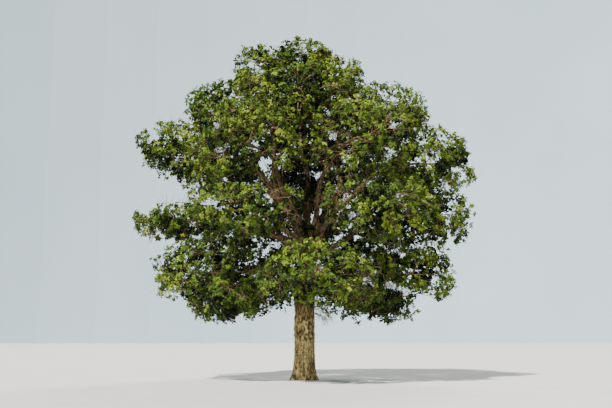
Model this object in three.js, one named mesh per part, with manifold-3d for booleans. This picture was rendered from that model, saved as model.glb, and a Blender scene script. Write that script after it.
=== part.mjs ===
// An open-grown oak in full summer leaf: a short thick trunk that runs on as a crooked leader, 27 boughs
// in five tiers, and 31 masses of foliage, each one a solid of twigs with sprays of leaves fused on.
// Millimetres, +Z up. The origin is the centre of the flat cut at ground level and -Y is the tree's front.
import * as THREE from "three";
import { mergeVertices } from "three/addons/utils/BufferGeometryUtils.js";
import Module from "manifold-3d";

// Driving dimensions
const HEIGHT = 17600; // ground to the topmost spray
const CROWN_RADIUS = 8600; // trunk axis to the furthest spray
const TRUNK_RADIUS = 530; // of the trunk near the ground, without its flare
const GAP = 0.3; // between pieces that touch on the real tree

// Trunk
const TRUNK_TOP = 0.85 * HEIGHT; // the leader's tip, inside the topmost mass
const FORK_HEIGHT = 0.42 * HEIGHT; // where the big limbs have left and the leader carries on
const FORK_SPAN = 0.045 * HEIGHT; // over which the trunk narrows to the leader
const STEM_TAPER = 0.3; // share of the radius lost between ground and fork
const LEADER_RADIUS = 0.37 * TRUNK_RADIUS;
const LEADER_TIP = 0.08 * TRUNK_RADIUS;
const LEAN = 0.004; // sideways drift of the trunk for each unit of height, to +X
const TRUNK_CROOK = 0.32 * TRUNK_RADIUS; // how far the leader swings to each side
const FLARE = 0.34; // extra radius at the ground, as a share of the radius
const FLARE_HEIGHT = 330;
const BUTTRESSES = 5;
const BUTTRESS_DEPTH = 0.1;
const CROTCH_BULGE = 0.14; // swelling where the lowest boughs leave
const CROTCH_HEIGHT = 0.222 * HEIGHT;
const CROTCH_SPAN = 620;
const TRUNK_SIDES = 12;
const TRUNK_RINGS = 16;
const RING_SPREAD = 1.35; // above 1, a limb's rings stand closer together near its root

// Boughs
const BOUGH_SIDES = 6;
const BOUGH_RINGS = 5;
const BOUGH_TIP = 74; // radius where a bough enters its mass
const BOUGH_TAPER = 1.15; // power of the taper from base to tip
const COLLAR = 0.4; // extra radius where a bough leaves its parent
const COLLAR_LENGTH = 2.4; // in bough radii
const BOUGH_CROOK = 0.035; // sideways swing, as a share of the bough's length
const ROOT_SHARE = 0.6; // radius of its hidden start on its parent's centre line, as a share
const LEAVES_SPREAD = 0.06; // how far a bough leaves above or below its tier's level, as a share of it
const ENTRY = 0.62; // how far back from its middle a mass is entered, as a share of its depth

// Foliage
const FIRST_TWIG = 0.16; // where the first and last twigs leave a mass's stem, as shares of its length
const LAST_TWIG = 0.96;
const STEM_REACH = 0.3; // the stem's end beyond the mass's middle, as a share of its depth
const TWIG_REACH = 0.45; // where the twigs end and their sprays begin, as a share of the mass's radius
const STEM_RADIUS = 72;
const TWIG_RADIUS = 34;
const SPRAY_LENGTH = 0.1 * HEIGHT;
const SPRAY_WIDTH = 0.78; // of its length
const SPRAY_THICKNESS = 0.045; // of its length
const SPRAY_OUTLINE = [
  { along: 0.36, width: 0.76 },
  { along: 0.7, width: 1 },
  { along: 1, width: 0 },
]; // shares of a spray's length and width, from its root to its tip
const LEVELLING = 0.7; // share of a twig's slope that the spray at its end keeps
const SPRAY_TILT = 2; // seeded tilt of a spray's face, against its lean up and outward of about 1
const SPRAY_ARCH = 0.1; // rise of a spray's middle, as a share of its length
const SPRAY_ROOT = 0.01; // width at the root, as a share of the waist's
const SIDE_SPRAYS = [0.45, 0.8]; // places along a twig, on opposite sides
const SIDE_ANGLE = 1.05; // radians between a side spray and its twig
const LENGTH_TRIES = [1, 0.85, 0.7, 0.56]; // shares of the full length tried until a spray fits
const ROLL_TRIES = [0, 0.8, -0.8, 1.6]; // turns about the twig, in radians, tried until a side spray fits
const ROOT_SINK = 2.6; // parent radii from a root to where its twig or spray has to be clear of all others
const SQUARENESS = 3; // power of a mass's outline: 2 is an ellipsoid and more is boxier
const SPACE_MARGIN = 25; // kept clear on each side of the plane between two masses

// The tiers of the crown, from the ground up. Azimuths are in degrees from the front, -Y, towards +X.
// height and leaves are shares of HEIGHT, reach a share of CROWN_RADIUS, and depth, width and thickness the
// half sizes of a mass in the same share. rise and droop are the bough's slopes at its two ends, in degrees.
const TIERS = [
  { name: "skirt", twigs: 8, azimuths: [-62, 62, -122, 126], height: 0.227, reach: 0.8, depth: 0.28,
    width: 0.32, thickness: 0.165, leaves: 0.25, rise: 8, droop: -16, radius: 0.22 },
  { name: "lower", twigs: 6, azimuths: [3, -76, 76, -146, 146], height: 0.296, reach: 0.93, depth: 0.31,
    width: 0.38, thickness: 0.23, leaves: 0.28, rise: 22, droop: -6, radius: 0.31 },
  { name: "middle", twigs: 6, azimuths: [-26, 30, -90, 90, -150, 150], height: 0.45, reach: 1.01, depth: 0.31,
    width: 0.38, thickness: 0.2, leaves: 0.345, rise: 26, droop: 2, radius: 0.33 },
  { name: "upper", twigs: 6, azimuths: [-30, 28, -84, 82, -132, 130, 179], height: 0.612, reach: 1.0,
    depth: 0.33, width: 0.36, thickness: 0.24, leaves: 0.39, rise: 50, droop: 18, radius: 0.35 },
  { name: "shoulder", twigs: 6, azimuths: [-2, -72, 72, -144, 144], height: 0.757, reach: 0.8, depth: 0.33,
    width: 0.38, thickness: 0.22, leaves: 0.47, rise: 66, droop: 30, radius: 0.27 },
  { name: "crest", twigs: 5, azimuths: [-80, 62, 176], height: 0.87, reach: 0.5, depth: 0.25, width: 0.28,
    thickness: 0.17, leaves: 0.74, rise: 60, droop: 40, radius: 0 },
  { name: "tip", twigs: 5, azimuths: [20], height: 0.921, reach: 0.21, depth: 0.22, width: 0.24,
    thickness: 0.16, leaves: 0.85, rise: 80, droop: 80, radius: 0 },
];

// Where one mass differs from its tier, as shares added to the tier's.
const DIFFERENCES = {
  lower_1: { height: -0.015, thickness: -0.05 }, // over the trunk's front
  lower_2: { height: -0.002, reach: -0.02, thickness: 0.02 },
  lower_3: { height: -0.01, reach: -0.04, thickness: 0.02 },
  middle_1: { height: -0.014, width: -0.05, thickness: -0.03 },
  middle_3: { height: -0.004, reach: 0.03, thickness: -0.085 }, // the left shelf, with open sky above it
  middle_4: { height: 0.018, thickness: 0.04 },
  upper_3: { height: 0.036, reach: 0.02, thickness: -0.06 },
  upper_4: { height: -0.012, reach: 0.03 },
  upper_5: { height: 0.02, thickness: -0.04 },
  shoulder_2: { height: -0.01 },
  shoulder_3: { height: -0.026 },
  crest_1: { reach: 0.05, width: 0.02, thickness: 0.02 },
  crest_2: { height: -0.016, reach: -0.1, depth: -0.05 },
};

// Boughs that fork from another bough rather than leave the trunk, and how far along it.
const FORKS = {
  skirt_1: { from: "lower_2", at: 0.2 },
  skirt_2: { from: "lower_3", at: 0.2 },
  skirt_3: { from: "lower_4", at: 0.2 },
  skirt_4: { from: "lower_5", at: 0.2 },
  shoulder_2: { from: "upper_3", at: 0.34 },
  shoulder_3: { from: "upper_4", at: 0.37 },
  shoulder_4: { from: "upper_5", at: 0.34 },
  shoulder_5: { from: "upper_6", at: 0.34 },
};
const CREST_STEP = 0.03; // between the places where the crest's masses leave the leader, in shares of HEIGHT
const BUILD_ORDER = ["lower", "middle", "upper", "shoulder", "skirt", "crest", "tip"];
const SEED = 1871;

const UP = new THREE.Vector3(0, 0, 1);
const GOLDEN_ANGLE = Math.PI * (3 - Math.sqrt(5));

const wasm = await Module();
wasm.setup();

// A random number from 0 to 1, the same ones each time for one seed.
function seededRandom(seed) {
  let state = seed >>> 0;
  return () => {
    state = (state + 0x6d2b79f5) >>> 0;
    let t = Math.imul(state ^ (state >>> 15), state | 1);
    t ^= t + Math.imul(t ^ (t >>> 7), t | 61);
    return ((t ^ (t >>> 14)) >>> 0) / 4294967296;
  };
}

function toSolid(geometry) {
  const bare = geometry.clone();
  bare.deleteAttribute("normal");
  bare.deleteAttribute("uv");
  const merged = mergeVertices(bare, 1e-3);
  return new wasm.Manifold(
    new wasm.Mesh({
      numProp: 3,
      vertProperties: merged.attributes.position.array,
      triVerts: new Uint32Array(merged.index.array),
    }),
  );
}

function toGeometry(solid) {
  const { vertProperties, triVerts } = solid.getMesh();
  const geometry = new THREE.BufferGeometry();
  geometry.setAttribute("position", new THREE.BufferAttribute(vertProperties, 3));
  geometry.setIndex(new THREE.BufferAttribute(triVerts, 1));
  geometry.computeVertexNormals();
  return geometry;
}

function largestBody(solid) {
  const bodies = solid.decompose();
  return bodies.reduce((most, body) => (body.volume() > most.volume() ? body : most));
}

// A closed tube along a centre line: a cylinder whose rings are moved on to it. radiusAt takes the place
// along the line, from 0 to 1, and the angle round it. grow makes it that much fatter and longer, for use
// as a cutter that leaves a gap.
function tubeGeometry({ centreAt, radiusAt }, sides, rings, acrossHint, grow) {
  const geometry = new THREE.CylinderGeometry(1, 1, 1, sides, rings);
  const place = geometry.attributes.position;
  const step = 1e-3;
  for (let i = 0; i < place.count; i++) {
    const along = Math.min(1, Math.max(0, place.getY(i) + 0.5)) ** RING_SPREAD;
    const middle = centreAt(along);
    const tangent = centreAt(Math.min(1, along + step)).sub(centreAt(Math.max(0, along - step))).normalize();
    const across = new THREE.Vector3().crossVectors(acrossHint, tangent).normalize();
    const over = new THREE.Vector3().crossVectors(across, tangent);
    const angle = Math.atan2(place.getX(i), place.getZ(i));
    const radius = Math.hypot(place.getX(i), place.getZ(i)) * (radiusAt(along, angle) + grow);
    if (along === 1) middle.addScaledVector(tangent, grow);
    middle.addScaledVector(across, radius * Math.sin(angle)).addScaledVector(over, radius * Math.cos(angle));
    place.setXYZ(i, middle.x, middle.y, middle.z);
  }
  return geometry;
}

// The trunk and its leader

function trunkCentre(height) {
  const above = Math.max(0, height / FORK_HEIGHT - 0.6);
  const swing = TRUNK_CROOK * Math.min(1, above);
  return new THREE.Vector3(
    LEAN * height + swing * Math.sin(above * 3.1),
    swing * 0.8 * Math.sin(above * 2.3 + 0.7) - swing * 0.8 * Math.sin(0.7),
    height,
  );
}

function trunkRadius(height, angle = 0) {
  const stem = TRUNK_RADIUS * (1 - (STEM_TAPER * height) / FORK_HEIGHT);
  const climb = Math.max(0, (height - FORK_HEIGHT) / (TRUNK_TOP - FORK_HEIGHT));
  const leader = LEADER_TIP + (LEADER_RADIUS - LEADER_TIP) * (1 - climb);
  const passed = THREE.MathUtils.smoothstep(height, FORK_HEIGHT - FORK_SPAN, FORK_HEIGHT + FORK_SPAN);
  const flare = FLARE * Math.exp(-height / FLARE_HEIGHT);
  const ridges = BUTTRESS_DEPTH * Math.exp(-height / (2 * FLARE_HEIGHT)) * Math.cos(BUTTRESSES * angle);
  const bulge = CROTCH_BULGE * Math.exp(-(((height - CROTCH_HEIGHT) / CROTCH_SPAN) ** 2));
  return (stem * (1 - passed) + leader * passed) * (1 + flare + ridges + bulge);
}

function trunkSolid(grow) {
  const line = {
    centreAt: (along) => trunkCentre(TRUNK_TOP * along),
    radiusAt: (along, angle) => trunkRadius(TRUNK_TOP * along, angle),
  };
  const geometry = tubeGeometry(line, TRUNK_SIDES, TRUNK_RINGS, new THREE.Vector3(0, 1, 0), grow);
  const place = geometry.attributes.position;
  // The lowest ring lies flat on the ground.
  for (let i = 0; i < place.count; i++) {
    if (place.getZ(i) < FLARE_HEIGHT / 2) place.setZ(i, 0);
  }
  return toSolid(geometry);
}

// The masses' spaces

function direction(azimuth, slope = 0) {
  const turn = THREE.MathUtils.degToRad(azimuth);
  const lift = THREE.MathUtils.degToRad(slope);
  return new THREE.Vector3(
    Math.sin(turn) * Math.cos(lift),
    -Math.cos(turn) * Math.cos(lift),
    Math.sin(lift),
  );
}

// A mass's space is a squarish ellipsoid with its own outward, sideways and upward axes.
function massSpace(tier, number) {
  const name = `${tier.name}_${number + 1}`;
  const change = { height: 0, reach: 0, depth: 0, width: 0, thickness: 0, ...DIFFERENCES[name] };
  const random = seededRandom(SEED + 97 * number + 1009 * TIERS.indexOf(tier));
  const vary = (share) => 1 + share * (2 * random() - 1);
  const azimuth = tier.azimuths[number] + 4 * (2 * random() - 1);
  const half = new THREE.Vector3(
    (tier.depth + change.depth) * CROWN_RADIUS * vary(0.06),
    (tier.width + change.width) * CROWN_RADIUS * vary(0.06),
    (tier.thickness + change.thickness) * CROWN_RADIUS * vary(0.06),
  );
  const outward = direction(azimuth);
  const sideways = new THREE.Vector3().crossVectors(UP, outward);
  const level = (tier.height + change.height) * HEIGHT * vary(0.01);
  const reach = (tier.reach + change.reach) * CROWN_RADIUS - half.x;
  const centre = new THREE.Vector3().addScaledVector(outward, reach).setZ(level);
  const hand = number % 2 === 0 ? 1 : -1;
  return { name, tier, number, azimuth, centre, half, axes: [outward, sideways, UP], hand, random };
}

function meanHalf({ half }) {
  return (half.x + half.y + half.z) / 3;
}

// The planes that part a mass from each neighbour whose space it would share.
function partingPlanes(mass, masses) {
  return masses
    .filter((other) => other !== mass)
    .map((other) => {
      const towards = other.centre.clone().sub(mass.centre);
      const apart = towards.length();
      const share = (apart ** 2 + meanHalf(mass) ** 2 - meanHalf(other) ** 2) / (2 * apart);
      return { normal: towards.normalize(), most: share - SPACE_MARGIN };
    });
}

function inSpace(mass, point) {
  const offset = point.clone().sub(mass.centre);
  const shares = mass.axes.map((axis, i) => offset.dot(axis) / mass.half.getComponent(i));
  const size = shares.reduce((sum, share) => sum + Math.abs(share) ** SQUARENESS, 0);
  return size <= 1 && mass.planes.every((p) => offset.dot(p.normal) <= p.most);
}

// The boughs

// A bough's centre line is a cubic curve from its parent to its mass with a seeded swing laid over it.
function boughLine(mass, limbs) {
  const { tier, azimuth } = mass;
  const fork = FORKS[mass.name];
  let start;
  let parentRadius;
  if (fork) {
    const parent = limbs.get(fork.from);
    start = parent.centreAt(fork.at);
    parentRadius = parent.radiusAt(fork.at);
  } else {
    const level = tier.leaves * HEIGHT * (1 + LEAVES_SPREAD * (2 * mass.random() - 1));
    start = trunkCentre(level);
    parentRadius = trunkRadius(level);
  }
  const towards = mass.centre.clone().addScaledVector(mass.axes[0], -ENTRY * mass.half.x).sub(start);
  const length = towards.length();
  const heading = THREE.MathUtils.radToDeg(Math.atan2(towards.x, -towards.y));
  const end = start.clone().add(towards);
  const curve = new THREE.CubicBezierCurve3(
    start,
    start.clone().addScaledVector(direction(heading, tier.rise), 0.36 * length),
    end.clone().addScaledVector(direction(azimuth, tier.droop), -0.3 * length),
    end,
  );
  const phase = 2 * Math.PI * mass.random();
  const swing = BOUGH_CROOK * length;
  const aside = new THREE.Vector3().crossVectors(UP, direction(heading));
  const centreAt = (along) => {
    const envelope = swing * Math.sin(Math.PI * along) ** 1.5;
    return curve
      .getPoint(along)
      .addScaledVector(aside, envelope * Math.sin(7 * along + phase))
      .addScaledVector(UP, 0.8 * envelope * Math.sin(9 * along + 2 * phase));
  };
  const base = tier.radius * TRUNK_RADIUS;
  const radiusAt = (along) => {
    const out = Math.max(0, along * length - parentRadius);
    const collar = 1 + COLLAR * Math.exp(-out / (COLLAR_LENGTH * base)) * (1 - along);
    const emerged = Math.min(1, (along * length) / parentRadius);
    const taper = BOUGH_TIP + (base - BOUGH_TIP) * (1 - along) ** BOUGH_TAPER;
    return taper * collar * (ROOT_SHARE + (1 - ROOT_SHARE) * emerged);
  };
  return { centreAt, radiusAt, end, heading: direction(azimuth, tier.droop) };
}

function boughSolid(line, grow) {
  return toSolid(tubeGeometry(line, BOUGH_SIDES, BOUGH_RINGS, UP, grow));
}

// Stems, twigs and sprays

function stemSolid(from, to) {
  const geometry = new THREE.CylinderGeometry(STEM_RADIUS, STEM_RADIUS, from.distanceTo(to), 3);
  const heading = to.clone().sub(from).normalize();
  geometry.applyQuaternion(new THREE.Quaternion().setFromUnitVectors(new THREE.Vector3(0, 1, 0), heading));
  const middle = from.clone().lerp(to, 0.5);
  geometry.translate(middle.x, middle.y, middle.z);
  return toSolid(geometry);
}

// A shoot is an arched spray of leaves on a twig, or straight on its parent where twig is 0. It is a
// three-sided solid through some rings, from its root, or from a place past it, to the point of its tip.
function shootRings({ twig, spray }, past) {
  const outline = SPRAY_OUTLINE.map(({ along, width }) => ({
    along: twig + along * spray,
    wide: (width * SPRAY_WIDTH * spray) / Math.sqrt(3),
    thick: (Math.sqrt(width) * SPRAY_THICKNESS * spray) / 1.5,
    arch: SPRAY_ARCH * spray * Math.sin(Math.PI * along),
  }));
  if (twig > 0) {
    const slim = { wide: TWIG_RADIUS, thick: TWIG_RADIUS, arch: 0 };
    return [{ along: past, ...slim }, { along: twig, ...slim }, ...outline];
  }
  const share = Math.max(SPRAY_ROOT, past / outline[0].along);
  const { wide, thick, arch } = outline[0];
  return [{ along: past, wide: share * wide, thick: share * thick, arch: share * arch }, ...outline];
}

function shootSolid(shoot, past) {
  const { root, heading, normal, twig } = shoot;
  const rings = shootRings(shoot, past);
  const sprayHeading = twig > 0 ? heading.clone().setZ(LEVELLING * heading.z).normalize() : heading;
  const across = new THREE.Vector3().crossVectors(sprayHeading, normal).normalize();
  const face = new THREE.Vector3().crossVectors(across, sprayHeading);
  const geometry = new THREE.CylinderGeometry(0, 1, 1, 3, rings.length - 1);
  const place = geometry.attributes.position;
  const corners = [];
  for (let i = 0; i < place.count; i++) {
    const { along, wide, thick, arch } = rings[Math.round((place.getY(i) + 0.5) * (rings.length - 1))];
    const angle = Math.atan2(place.getX(i), place.getZ(i));
    const rim = Math.hypot(place.getX(i), place.getZ(i)) > 0 ? 1 : 0;
    const corner = root
      .clone()
      .addScaledVector(heading, Math.min(along, twig))
      .addScaledVector(sprayHeading, Math.max(0, along - twig))
      .addScaledVector(across, rim * wide * Math.sin(angle))
      .addScaledVector(face, arch + rim * thick * Math.cos(angle));
    place.setXYZ(i, corner.x, corner.y, corner.z);
    if (along > 0) corners.push(corner);
  }
  return { solid: toSolid(geometry), corners };
}

// The first of some shoots that keeps to the mass's space and, past its root in its parent, crosses
// nothing that has grown there.
function firstThatFits(mass, shoots, parentRadius, grown) {
  for (const shoot of shoots) {
    const { solid, corners } = shootSolid(shoot, 0);
    if (!corners.every((corner) => inSpace(mass, corner))) continue;
    const free = shootSolid(shoot, ROOT_SINK * parentRadius).solid;
    if (grown.every((other) => free.intersect(other).isEmpty())) return solid;
  }
  return null;
}

// Directions spread evenly over a mass by the golden angle, as offsets from its middle to its outline. The
// middle one leads straight outward.
function evenOffset({ axes, half, hand, tier }, number) {
  const rise = 1 - (2 * number + 1) / tier.twigs;
  const round = hand * GOLDEN_ANGLE * (number - (tier.twigs - 1) / 2);
  const level = Math.sqrt(1 - rise ** 2);
  const shares = [level * Math.cos(round), level * Math.sin(round), rise];
  const offset = new THREE.Vector3();
  shares.forEach((share, i) => offset.addScaledVector(axes[i], share * half.getComponent(i)));
  return offset;
}

// A spray's upper face looks up and outward, give or take a seeded tilt.
function sprayNormal({ random }, outward) {
  const tilt = new THREE.Vector3(random() - 0.5, random() - 0.5, random() - 0.5);
  return UP.clone().multiplyScalar(0.6).add(outward).addScaledVector(tilt, SPRAY_TILT);
}

// All of a mass: the stem from its entry, the twigs that fork from it, and the sprays at their ends and
// along their sides.
function massSolid(mass, entry, wood) {
  const { centre, half, axes, tier, random } = mass;
  const stemEnd = centre.clone().addScaledVector(axes[0], STEM_REACH * half.x);
  const stemHeading = stemEnd.clone().sub(entry).normalize();
  const grown = [stemSolid(entry, stemEnd)];
  const fullSpray = () => SPRAY_LENGTH * (0.88 + 0.24 * random());
  const offsets = Array.from({ length: tier.twigs }, (_, number) => evenOffset(mass, number));
  // The twigs that lead furthest along the stem's own way leave it last.
  offsets.sort((a, b) => a.dot(stemHeading) - b.dot(stemHeading));
  for (const [order, offset] of offsets.entries()) {
    const share = FIRST_TWIG + ((LAST_TWIG - FIRST_TWIG) * order) / (tier.twigs - 1);
    const root = entry.clone().lerp(stemEnd, share);
    const end = centre.clone().addScaledVector(offset, TWIG_REACH);
    const twig = root.distanceTo(end);
    const heading = end.clone().sub(root).normalize();
    const outward = offset.clone().normalize();
    const normal = sprayNormal(mass, outward);
    const full = fullSpray();
    const shoots = LENGTH_TRIES.map((shorter) => ({ root, heading, normal, twig, spray: shorter * full }));
    const shoot = firstThatFits(mass, shoots, STEM_RADIUS, [wood, ...grown]);
    if (!shoot) continue;
    grown.push(shoot);
    const aside = new THREE.Vector3().crossVectors(heading, UP.clone().add(outward)).normalize();
    for (const [number, at] of SIDE_SPRAYS.entries()) {
      const joint = root.clone().lerp(end, at);
      const sideNormal = sprayNormal(mass, outward);
      const sideFull = fullSpray();
      const sideShoots = ROLL_TRIES.flatMap((roll) => {
        const sideHeading = heading
          .clone()
          .multiplyScalar(Math.cos(SIDE_ANGLE))
          .addScaledVector(aside, Math.sin(SIDE_ANGLE))
          .applyAxisAngle(heading, Math.PI * number + roll);
        return LENGTH_TRIES.map((shorter) => ({
          root: joint,
          heading: sideHeading,
          normal: sideNormal,
          twig: 0,
          spray: shorter * sideFull,
        }));
      });
      const spray = firstThatFits(mass, sideShoots, TWIG_RADIUS, [wood, ...grown]);
      if (spray) grown.push(spray);
    }
  }
  const whole = grown.reduce((joined, piece) => joined.add(piece));
  return largestBody(whole.subtract(wood));
}

// The tree

const BARK = new THREE.MeshStandardMaterial({ color: 0x6f5b40, roughness: 0.95, metalness: 0 });
const LEAF = new THREE.MeshStandardMaterial({ color: 0x4d6b22, roughness: 0.6, metalness: 0 });
const oak = new THREE.Group();

function addNode(name, solid, material) {
  const mesh = new THREE.Mesh(toGeometry(solid), material);
  mesh.name = name;
  oak.add(mesh);
}

const masses = TIERS.flatMap((tier) => tier.azimuths.map((_, number) => massSpace(tier, number)));
masses.forEach((mass) => {
  mass.planes = partingPlanes(mass, masses);
});
masses.sort((a, b) => BUILD_ORDER.indexOf(a.tier.name) - BUILD_ORDER.indexOf(b.tier.name));

addNode("trunk", trunkSolid(0), BARK);
const limbs = new Map();
let wood = trunkSolid(GAP);
for (const mass of masses.filter(({ tier }) => tier.radius > 0)) {
  const line = boughLine(mass, limbs);
  const bough = largestBody(boughSolid(line, 0).subtract(wood));
  addNode(`bough_${mass.name}`, bough, BARK);
  wood = wood.add(boughSolid(line, GAP));
  limbs.set(mass.name, line);
}

for (const mass of masses) {
  let entry;
  if (limbs.has(mass.name)) {
    const line = limbs.get(mass.name);
    entry = line.end.clone().addScaledVector(line.heading, GAP);
  } else {
    // The topmost masses start from the leader itself, one above the other.
    const level = mass.tier.leaves + CREST_STEP * mass.number;
    entry = trunkCentre(level * HEIGHT).addScaledVector(UP, GAP);
  }
  addNode(`mass_${mass.name}`, massSolid(mass, entry, wood), LEAF);
}

export default oak;
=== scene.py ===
"""The looks of the oak: bark with its relief on the trunk and boughs, and a crown of twigs and leaves grown
from the boughs by the same rule as the solids, carried on to finer twigs in the same spaces.
Metres, +Z up. The origin is the centre of the trunk's foot and -Y is the tree's front."""

import math

import bpy
import numpy as np
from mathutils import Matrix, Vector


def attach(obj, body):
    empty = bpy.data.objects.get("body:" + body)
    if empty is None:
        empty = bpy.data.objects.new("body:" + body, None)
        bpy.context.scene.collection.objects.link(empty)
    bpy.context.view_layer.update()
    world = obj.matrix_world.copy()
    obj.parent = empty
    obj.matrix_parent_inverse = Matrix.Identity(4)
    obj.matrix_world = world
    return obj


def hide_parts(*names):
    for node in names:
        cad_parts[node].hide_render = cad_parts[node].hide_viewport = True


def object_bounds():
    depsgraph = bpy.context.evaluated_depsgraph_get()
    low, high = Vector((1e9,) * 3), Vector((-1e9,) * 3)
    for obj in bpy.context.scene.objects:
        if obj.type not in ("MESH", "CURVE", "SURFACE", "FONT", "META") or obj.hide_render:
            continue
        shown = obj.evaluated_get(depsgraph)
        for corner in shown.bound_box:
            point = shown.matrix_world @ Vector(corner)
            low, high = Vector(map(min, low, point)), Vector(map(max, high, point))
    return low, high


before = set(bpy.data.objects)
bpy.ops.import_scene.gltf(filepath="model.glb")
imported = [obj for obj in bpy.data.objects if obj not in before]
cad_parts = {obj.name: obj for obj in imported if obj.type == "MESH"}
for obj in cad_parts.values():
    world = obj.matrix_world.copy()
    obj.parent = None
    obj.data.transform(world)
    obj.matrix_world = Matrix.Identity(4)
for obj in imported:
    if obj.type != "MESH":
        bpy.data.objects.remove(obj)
CAD_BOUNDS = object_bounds()
CAD_LOW, CAD_HIGH = (np.array(corner) for corner in CAD_BOUNDS)

# The driving dimensions and the rules of the limbs, as in the solids
HEIGHT = 17.6  # ground to the topmost spray
CROWN_RADIUS = 8.6  # trunk axis to the furthest spray
TRUNK_RADIUS = 0.53  # near the ground, without the flare
SEED = 1871
GOLDEN_ANGLE = math.pi * (3 - math.sqrt(5))
UP = np.array([0.0, 0.0, 1.0])

# Trunk
TRUNK_TOP = 0.85 * HEIGHT
FORK_HEIGHT = 0.42 * HEIGHT
FORK_SPAN = 0.045 * HEIGHT
STEM_TAPER = 0.3  # share of the radius lost between ground and fork
LEADER_RADIUS = 0.37 * TRUNK_RADIUS
LEADER_TIP = 0.08 * TRUNK_RADIUS
LEAN = 0.004  # sideways drift for each unit of height
TRUNK_CROOK = 0.32 * TRUNK_RADIUS  # how far the leader swings to each side
CROOK_START = 0.6  # of the fork's height
CROOK_SIDEWAYS = 3.1  # radians of swing over the fork's height, to the side and to the front
CROOK_FORWARD = 2.3
CROOK_DEPTH = 0.8  # swing to the front, as a share of that to the side
CROOK_PHASE = 0.7
FLARE = 0.34
FLARE_HEIGHT = 0.33
BUTTRESSES = 5
BUTTRESS_DEPTH = 0.1
CROTCH_BULGE = 0.14
CROTCH_HEIGHT = 0.222 * HEIGHT
CROTCH_SPAN = 0.62
RING_SPREAD = 1.35  # above 1, the rings stand closer together near the ground

# Boughs
BOUGH_TIP = 0.074
BOUGH_TAPER = 1.15
COLLAR = 0.4
COLLAR_LENGTH = 2.4
START_PULL = 0.36  # of its length along which a bough keeps its first slope, and its last one
END_PULL = 0.3
BOUGH_CROOK = 0.035
CROOK_ASIDE = 7  # radians of swing along a bough, to the side and up
CROOK_UP = 9
CROOK_RISE = 0.8  # swing up, as a share of that to the side
CROOK_EASE = 1.5  # power that starts and ends the swing gently
ROOT_SHARE = 0.6
LEAVES_SPREAD = 0.06
ENTRY = 0.62

# Masses
AZIMUTH_SPREAD = 4  # degrees
HALF_SPREAD = 0.06
LEVEL_SPREAD = 0.01
NUMBER_SEED = 97  # seeds apart for the next mass of a tier, and for the next tier
TIER_SEED = 1009
LEAF_SQUARENESS = 2.4  # power of a mass's outline: 2 is an ellipsoid and more is boxier
PARTING_RAGGED = 0.5  # how far leaves stray over the plane between two masses
PARTING_GRAIN = 1.6  # waves of that straying in a metre
CREST_STEP = 0.03
BUILD_ORDER = ["lower", "middle", "upper", "shoulder", "skirt", "crest", "tip"]
HALF_SIZES = ["depth", "width", "thickness"]
SIZES = ["height", "reach", *HALF_SIZES]

# The tiers of the crown, from the ground up. Azimuths are in degrees from the front, -Y, towards +X. height
# and leaves are shares of HEIGHT, and reach, depth, width and thickness of CROWN_RADIUS. rise and droop are a
# bough's slopes at its two ends, in degrees, and radius is a share of TRUNK_RADIUS.
TIERS = {
    "skirt": dict(azimuths=[-62, 62, -122, 126], height=0.227, reach=0.8, depth=0.28,
                  width=0.32, thickness=0.165, leaves=0.25, rise=8, droop=-16, radius=0.22),
    "lower": dict(azimuths=[3, -76, 76, -146, 146], height=0.296, reach=0.93, depth=0.31,
                  width=0.38, thickness=0.23, leaves=0.28, rise=22, droop=-6, radius=0.31),
    "middle": dict(azimuths=[-26, 30, -90, 90, -150, 150], height=0.45, reach=1.01, depth=0.31,
                   width=0.38, thickness=0.2, leaves=0.345, rise=26, droop=2, radius=0.33),
    "upper": dict(azimuths=[-30, 28, -84, 82, -132, 130, 179], height=0.612, reach=1.0, depth=0.33,
                  width=0.36, thickness=0.24, leaves=0.39, rise=50, droop=18, radius=0.35),
    "shoulder": dict(azimuths=[-2, -72, 72, -144, 144], height=0.757, reach=0.8, depth=0.33,
                     width=0.38, thickness=0.22, leaves=0.47, rise=66, droop=30, radius=0.27),
    "crest": dict(azimuths=[-80, 62, 176], height=0.87, reach=0.5, depth=0.25,
                  width=0.28, thickness=0.17, leaves=0.74, rise=60, droop=40, radius=0),
    "tip": dict(azimuths=[20], height=0.921, reach=0.21, depth=0.22,
                width=0.24, thickness=0.16, leaves=0.85, rise=80, droop=80, radius=0),
}
# Where one mass differs from its tier
DIFFERENCES = {
    "lower_1": dict(height=-0.015, thickness=-0.05),
    "lower_2": dict(height=-0.002, reach=-0.02, thickness=0.02),
    "lower_3": dict(height=-0.01, reach=-0.04, thickness=0.02),
    "middle_1": dict(height=-0.014, width=-0.05, thickness=-0.03),
    "middle_3": dict(height=-0.004, reach=0.03, thickness=-0.085),
    "middle_4": dict(height=0.018, thickness=0.04),
    "upper_3": dict(height=0.036, reach=0.02, thickness=-0.06),
    "upper_4": dict(height=-0.012, reach=0.03),
    "upper_5": dict(height=0.02, thickness=-0.04),
    "shoulder_2": dict(height=-0.01),
    "shoulder_3": dict(height=-0.026),
    "crest_1": dict(reach=0.05, width=0.02, thickness=0.02),
    "crest_2": dict(height=-0.016, reach=-0.1, depth=-0.05),
}
# The bough that another one forks from, and how far along it
FORKS = {
    "skirt_1": ("lower_2", 0.2), "skirt_2": ("lower_3", 0.2),
    "skirt_3": ("lower_4", 0.2), "skirt_4": ("lower_5", 0.2),
    "shoulder_2": ("upper_3", 0.34), "shoulder_3": ("upper_4", 0.37),
    "shoulder_4": ("upper_5", 0.34), "shoulder_5": ("upper_6", 0.34),
}


# The lines of the limbs

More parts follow.
